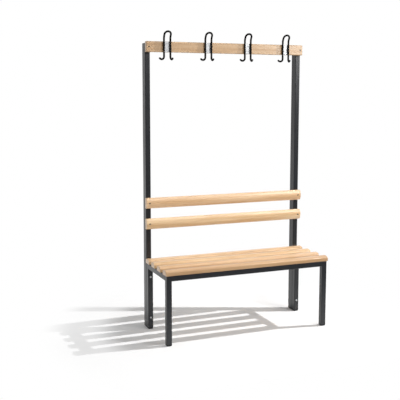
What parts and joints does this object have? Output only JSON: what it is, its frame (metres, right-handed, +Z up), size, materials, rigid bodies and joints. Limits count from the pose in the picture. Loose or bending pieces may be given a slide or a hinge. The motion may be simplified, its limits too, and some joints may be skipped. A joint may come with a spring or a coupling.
{
  "type": "cloakroom bench",
  "caption": "One-sided cloakroom bench: a tube frame with a slatted wooden seat and back, and a wooden rail with wire coat hooks on two uprights.",
  "frame": {"origin": "on the floor, at the middle of the footprint", "axes": "+Z up, +X along the seat to the right as seen from the front, +Y towards the back"},
  "size_m": [1, 0.4176, 1.7074],
  "materials": {
    "frame": "satin powder coat",
    "beech": "clear satin lacquer",
    "wire": "black coated wire",
    "zinc": "zinc plated",
    "dark_steel": "black phosphated screws",
    "plastic": "matt black"
  },
  "bodies": {
    "root": {"back_slat_screws": "dark_steel", "frame_bolts": "zinc", "frame_nuts": "zinc", "frame_washers": "zinc", "front_rail": "frame", "hook_1": "wire", "hook_2": "wire", "hook_3": "wire", "hook_4": "wire", "hook_plate_1": "zinc", "hook_plate_2": "zinc", "hook_plate_3": "zinc", "hook_plate_4": "zinc", "hook_plate_screws": "zinc", "hook_rail": "beech", "hook_rail_screws": "dark_steel", "left_front_foot": "plastic", "left_front_leg": "frame", "left_rear_foot": "plastic", "left_rear_leg": "frame", "left_side_rail": "frame", "left_upright": "frame", "left_upright_cap": "plastic", "left_upright_foot": "plastic", "lower_back_slat": "beech", "rear_rail": "frame", "right_front_foot": "plastic", "right_front_leg": "frame", "right_rear_foot": "plastic", "right_rear_leg": "frame", "right_side_rail": "frame", "right_upright": "frame", "right_upright_cap": "plastic", "right_upright_foot": "plastic", "seat_slat_1": "beech", "seat_slat_2": "beech", "seat_slat_3": "beech", "seat_slat_4": "beech", "seat_slat_screws": "zinc", "upper_back_slat": "beech"}
  },
  "joints": []
}
